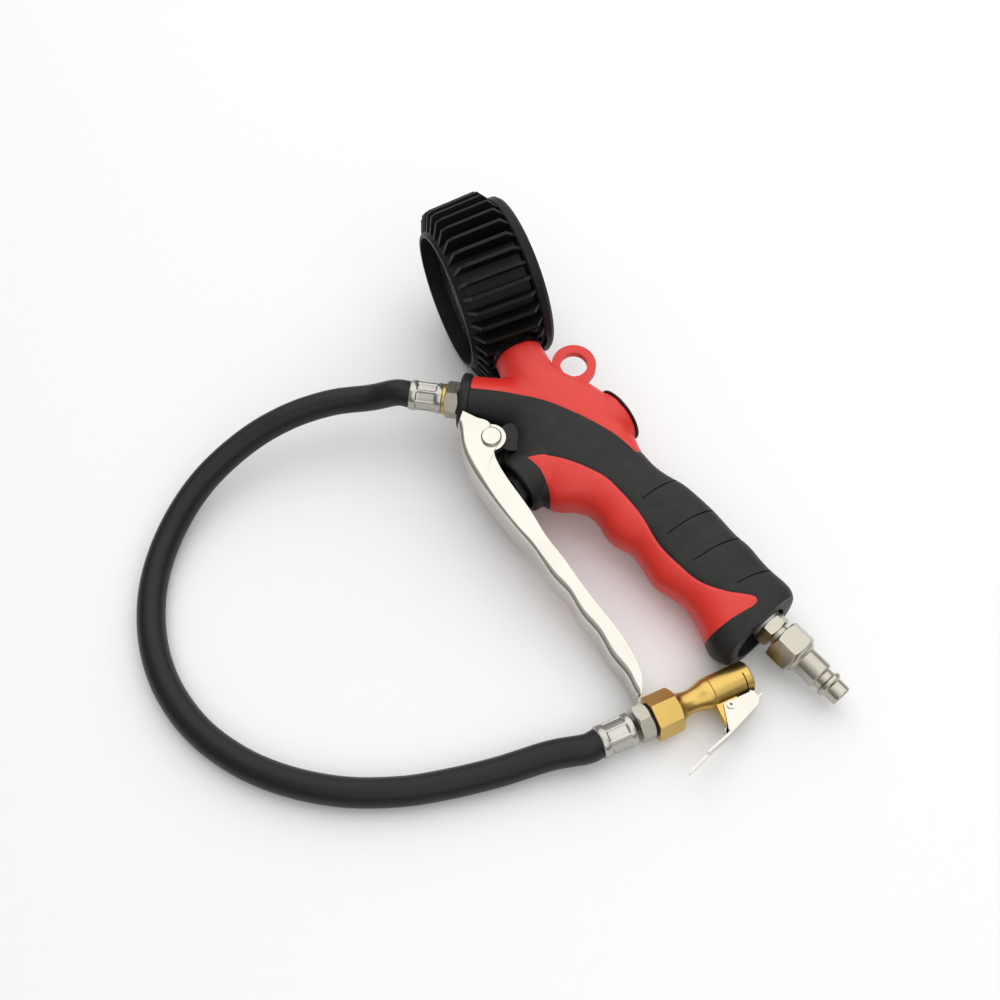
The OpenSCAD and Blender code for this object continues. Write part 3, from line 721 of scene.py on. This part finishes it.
def ferrule(name, m):
    """A pressed sleeve with eight sunken panels between two cuffs."""
    around, rows = 192, 56
    verts, faces = [], []
    for j in range(rows + 1):
        z = FERRULE_LONG * j / rows
        cuff = max(math.exp(-(((z - at) / wide) ** 2)) for at, wide in CUFFS)
        round_off = 0.5 * max(0, 1 - z / 1.0) ** 2 + 0.4 * max(0, (z - 18.7) / 0.8) ** 2
        for i in range(around):
            a = 360 * i / around
            off = (a - FERRULE_TURN + 22.5) % 45 - 22.5
            x = abs(math.radians(off) * FERRULE_R) - PANEL_SIDE
            y = abs(z - PANEL_MIDDLE) - PANEL_HALF
            away = math.hypot(max(x, 0), max(y, 0)) + min(max(x, y), 0) - 0.7
            sunk = min(1, max(0, 0.5 - away / 0.9))
            sunk = sunk * sunk * (3 - 2 * sunk)
            ridge = 0.12 * math.cos(math.radians(off * 8))
            radius = FERRULE_R + 0.3 * cuff - round_off - PANEL_DEEP * sunk - ridge * (1 - cuff)
            turn = math.radians(a)
            verts.append((radius * math.cos(turn), radius * math.sin(turn), z))
    inner = len(verts)
    for z, radius in ((FERRULE_LONG, HOSE_R + 0.02), (0.0, 3.5)):
        turns = [2 * math.pi * i / around for i in range(around)]
        verts += [(radius * math.cos(a), radius * math.sin(a), z) for a in turns]
    for j in range(rows):
        for i in range(around):
            k = (i + 1) % around
            here, ahead = j * around, (j + 1) * around
            faces.append((here + i, here + k, ahead + k, ahead + i))
    for i in range(around):
        k = (i + 1) % around
        faces.append((rows * around + i, rows * around + k, inner + k, inner + i))
        faces.append((i, k, inner + around + k, inner + around + i))
    return smooth(add_mesh(name, verts, faces, m, "zinc_steel"), 50)


def stand_for(obj, node):
    """Lets a piece of the gun be seen instead of a CAD node."""
    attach(obj, "gun")
    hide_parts(node)
    return obj


PLUG_FLATS = 22
# Radius and height along the inlet line
PLUG_OUTLINE = [
    (3.2, 206.5), (9.8, 206.5), (9.8, 207.6), (9.2, 208.2), (7.8, 209.4), (7.8, 221.2),
    (7, 222), (6, 222.2), (6, 225.6), (7.6, 226.6), (7.6, 228.4), (6, 229.6), (6, 236.2),
    (5.2, 237), (3.2, 237),
]


def add_fittings():
    """Hexagons, ferrule and air plug at the gun's two openings."""
    hose_hex = nut("hose_nut_hex", 19, -7.4, 0.5, 8.5, 3.5, port_line(0), "plug_nickel")
    stand_for(hose_hex, "hose_nut")
    stand_for(ferrule("gun_ferrule_sleeve", port_line(10)), "gun_ferrule")
    inlet = along(GUN, (0, INLET_Y), 0)
    bush_hex = nut("inlet_bush_hex", 17.5, 34, 183.5, 190.5, 5, inlet, "plug_nickel")
    stand_for(bush_hex, "inlet_bush")
    bush_sides = [(5, 176), (6.5, 176), (6.5, 193), (5, 193)]
    bush_neck = lathe("inlet_bush_neck", bush_sides, inlet, "plug_nickel")
    stand_for(smooth(bush_neck), "inlet_bush")
    plug_hex = nut("air_plug_hex", PLUG_FLATS, 27, 193, 207, 3.2, inlet, "plug_nickel")
    stand_for(plug_hex, "air_plug")
    nose = lathe("air_plug_nose", PLUG_OUTLINE, inlet, "plug_nickel", 96)
    stand_for(soften(smooth(nose, 25), 0.2, 25), "air_plug")


# Radius and height along the chuck line
CHUCK_NECK = [
    (3, 12), (9.9, 12), (9.9, 14.9), (8.6, 15.8), (7.5, 17.3), (6.7, 19.6), (6.3, 22.5),
    (6.4, 25), (6.9, 27.5), (7.7, 30), (8.5, 32.6), (8.5, 34.8), (5, 34.8), (5, 26), (3, 26),
]
CHUCK_HEAD = [
    (5, 34.8), (8.2, 34.8), (8.75, 35.2), (8.75, 57.3), (8.2, 58), (4.4, 58), (4.1, 57.6),
    (4.1, 46), (5, 46),
]
# Side outline of the lug that the clip's rivet goes through
CHUCK_LUG = [
    (34, -6), (47, -6), (46, -12.5), (41.5, -14.8), (36, -17.5), (34.5, -19.5), (33, -18),
]


def add_chuck():
    """The chuck's own pieces, which lie at the hose's far end."""
    flat = BENCH @ Matrix.Translation((*CHUCK_AT, CHUCK_Z)) @ turned("Z", CHUCK_TURN)
    sleeve_at = chuck_line(-11) @ turned("X", 180) @ turned("Z", 17.8)
    flats = nut("chuck_hex", 21, 49.7, 0, 15, 6, chuck_line(0), "gold_alloy", chamfer_low=False)
    neck = smooth(lathe("chuck_neck", CHUCK_NECK, chuck_line(0), "gold_alloy", 96), 30)
    head = lathe("chuck_head", CHUCK_HEAD, chuck_line(0), "gold_alloy", 96)
    for name, box, depth in (
        ("slit", [(53.2, -12), (53.9, -12), (53.9, -0.2), (53.2, -0.2)], 10),
        ("claw_slot", [(53, -12), (57, -12), (57, -2.5), (53, -2.5)], 2.8),
    ):
        cutter = prism(name, box, flat, depth)
        cut(head, cutter)
        drop(cutter)
    lug = prism("chuck_lug", CHUCK_LUG, flat, 2.6)
    dress(lug, "gold_alloy")
    made = [flats, neck, soften(smooth(head, 25), 0.15, 30, 2), soften(smooth(lug), 0.5)]
    for obj in made:
        stand_for(obj, "chuck_body")
    sleeve = stand_for(ferrule("chuck_ferrule_sleeve", sleeve_at), "chuck_ferrule")
    nut_hex = nut("chuck_nut_hex", 18, 8.7, -9, -1, 3, chuck_line(0), "plug_nickel")
    return made + [sleeve, stand_for(nut_hex, "chuck_nut")]


add_fittings()
chuck_pieces = add_chuck()

# ---------------------------------------------------------------- CAD nodes keep their shape
# Width of the rounded edges of the CAD nodes that are seen
SOFT_EDGES = {
    "gauge_boot": 0.35, "hang_eye": 0.9, "valve_cap": 0.5, "chuck_clip": 0.2, "pivot_pin": 0.25,
    "pivot_lug": 0.8, "plunger_guide": 0.4, "stem_collar": 0.5, "gauge_stem": 0.3, "bezel": 0.2,
    "gauge_case": 0.4, "hose_washer": 0.2, "clip_rivet": 0.1,
}


def dress_nodes():
    """Gives every CAD node in view its material and soft edges."""
    slots = {s["node"]: s["material_slot"] for s in frame["record"]["subparts"]}
    for name, obj in NODES.items():
        if obj.hide_render:
            continue
        dress(obj, slots[name])
        width = SOFT_EDGES.get(name)
        if width:
            soften(obj, width, 35, 2)


dress_nodes()


# ---------------------------------------------------------------- dial numbers
NUMBERS, NUMBER_STEP = 9, 2
NUMBER_R, NUMBER_TALL, NUMBER_THICK = 23.5, 5.5, 0.05
DIAL_START, DIAL_SWEEP = -45, 270
DIAL_FACE = 18.35


def add_numbers():
    """Plain numbers round the dial, evenly over the needle's travel."""
    for i in range(NUMBERS):
        a = math.radians(DIAL_START + i * DIAL_SWEEP / (NUMBERS - 1))
        data = bpy.data.curves.new(f"dial_number_{i}", "FONT")
        data.body = str(NUMBER_STEP * i)
        data.size = NUMBER_TALL * MM
        data.align_x = "CENTER"
        data.align_y = "CENTER"
        data.extrude = NUMBER_THICK * MM
        obj = bpy.data.objects.new(f"dial_number_{i}", data)
        at = Matrix.Translation((NUMBER_R * math.cos(a), NUMBER_R * math.sin(a), 0))
        face = gauge_line(DIAL_FACE) @ at @ turned("X", 180)
        face.translation = face.translation * MM
        obj.matrix_world = face
        bpy.context.collection.objects.link(obj)
        dress(obj, "dial_ink")
        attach(obj, "gun")


add_numbers()


# ---------------------------------------------------------------- floor and light
FLOOR_REACH = 4.0
# Name, place in metres, diameter, watts
LAMPS = [
    ("key", (-0.5, 0.75, 1.35), 3.4, 31),
    ("fill", (1.0, -0.5, 1.2), 1.8, 7.5),
]
SKY_LOW, SKY_STRENGTH = (0.16, 0.16, 0.17, 1), 0.52


def add_floor():
    mesh = bpy.data.meshes.new("floor")
    corners = [(-1, -1), (1, -1), (1, 1), (-1, 1)]
    points = [(x * FLOOR_REACH, y * FLOOR_REACH, 0) for x, y in corners]
    mesh.from_pydata(points, [], [(0, 1, 2, 3)])
    floor = bpy.data.objects.new("floor", mesh)
    bpy.context.collection.objects.link(floor)
    mat = material("floor_white", (0.93, 0.93, 0.93), 0.8, vary=0.002, bump=0.0)
    floor.data.materials.append(mat)


def add_area(name, at, size, watts):
    """A round soft lamp that shines at the middle of the floor."""
    data = bpy.data.lights.new(name, "AREA")
    data.shape = "DISK"
    data.size = size
    data.energy = watts
    lamp = bpy.data.objects.new(name, data)
    lamp.location = at
    lamp.rotation_mode = "QUATERNION"
    lamp.rotation_quaternion = (-Vector(at)).to_track_quat("-Z", "Y")
    bpy.context.collection.objects.link(lamp)


def add_world():
    """A grey room that gets lighter towards its ceiling."""
    world = bpy.data.worlds.new("studio")
    bpy.context.scene.world = world
    world.use_nodes = True
    nodes, links = world.node_tree.nodes, world.node_tree.links
    back = nodes["Background"]
    coords = nodes.new("ShaderNodeTexCoord")
    split = nodes.new("ShaderNodeSeparateXYZ")
    shade = nodes.new("ShaderNodeValToRGB")
    shade.color_ramp.elements[0].position = 0.0
    shade.color_ramp.elements[0].color = SKY_LOW
    shade.color_ramp.elements[1].position = 0.75
    shade.color_ramp.elements[1].color = (1, 1, 1, 1)
    links.new(coords.outputs["Generated"], split.inputs["Vector"])
    links.new(split.outputs["Z"], shade.inputs["Fac"])
    links.new(shade.outputs["Color"], back.inputs["Color"])
    back.inputs["Strength"].default_value = SKY_STRENGTH


add_floor()
add_world()
for lamp in LAMPS:
    add_area(*lamp)
bpy.context.scene.view_settings.view_transform = "Standard"
